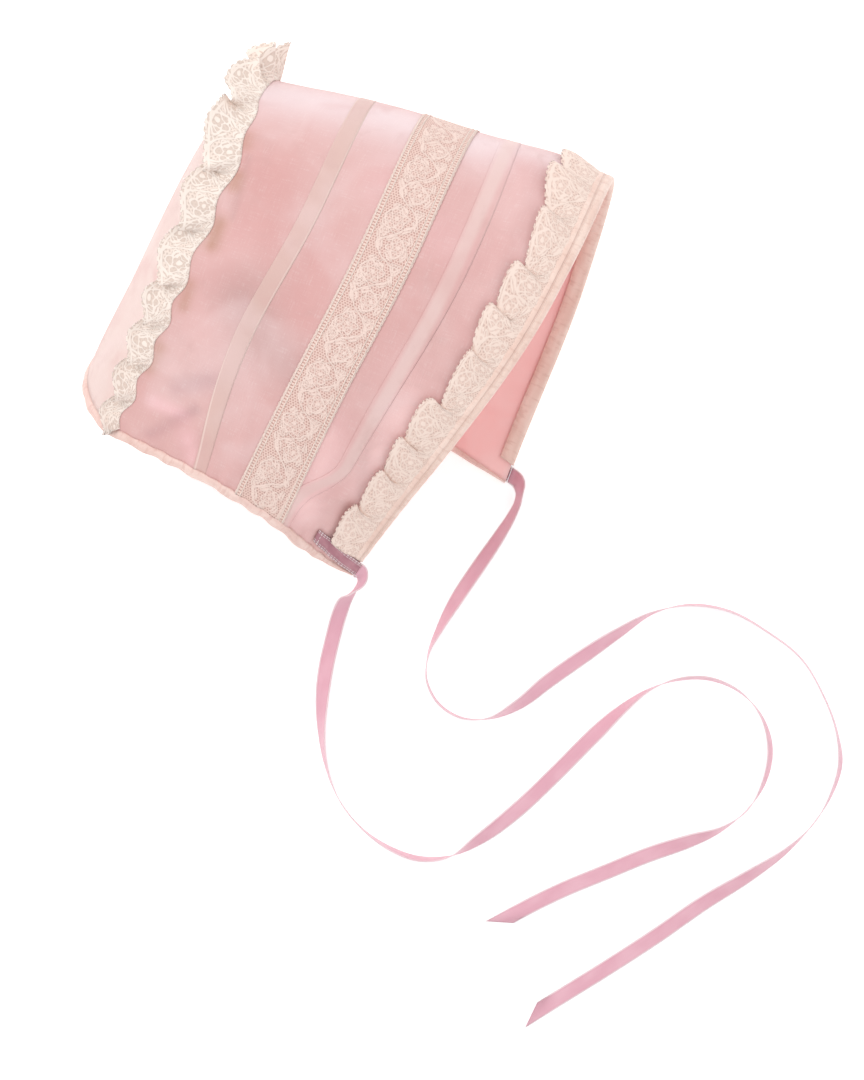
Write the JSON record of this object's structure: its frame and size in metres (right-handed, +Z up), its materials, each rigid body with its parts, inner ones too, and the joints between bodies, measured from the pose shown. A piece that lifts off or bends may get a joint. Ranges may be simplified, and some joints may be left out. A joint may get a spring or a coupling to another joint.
{
  "type": "christening bonnet",
  "caption": "Baby's christening bonnet of sheer cloth over a pink lining, with lace, gathered edges and loose satin ribbon ties, lying on its side.",
  "frame": {"origin": "on the surface the bonnet lies on, under the centre of its outline without the loose ribbons", "axes": "+Z up from that surface; the crown of the bonnet faces +Y, its face opening +X and its neck opening -Y, all turned about 17 degrees clockwise seen from above"},
  "size_m": [0.31, 0.3998, 0.0991],
  "materials": {
    "sheer_cloth": "sheer organza over pink, soft sheen",
    "pink_lining": "matt plain weave",
    "ivory_lace": "matt cotton lace",
    "ivory_satin": "soft satin",
    "pink_satin": "glossy satin ribbon"
  },
  "bodies": {
    "root": {"side_panel": "sheer_cloth", "side_lining": "pink_lining", "back_panel": "sheer_cloth", "back_lining": "pink_lining", "lace_band": "ivory_lace", "rear_tuck": "sheer_cloth", "front_tuck": "sheer_cloth", "seam_ruffle": "ivory_lace", "face_ruffle": "ivory_lace", "face_binding": "ivory_satin", "neck_binding": "ivory_satin", "ribbon_right_tab": "pink_satin", "ribbon_left_tab": "pink_satin", "ribbon_right": "pink_satin", "ribbon_left": "pink_satin"}
  },
  "joints": []
}
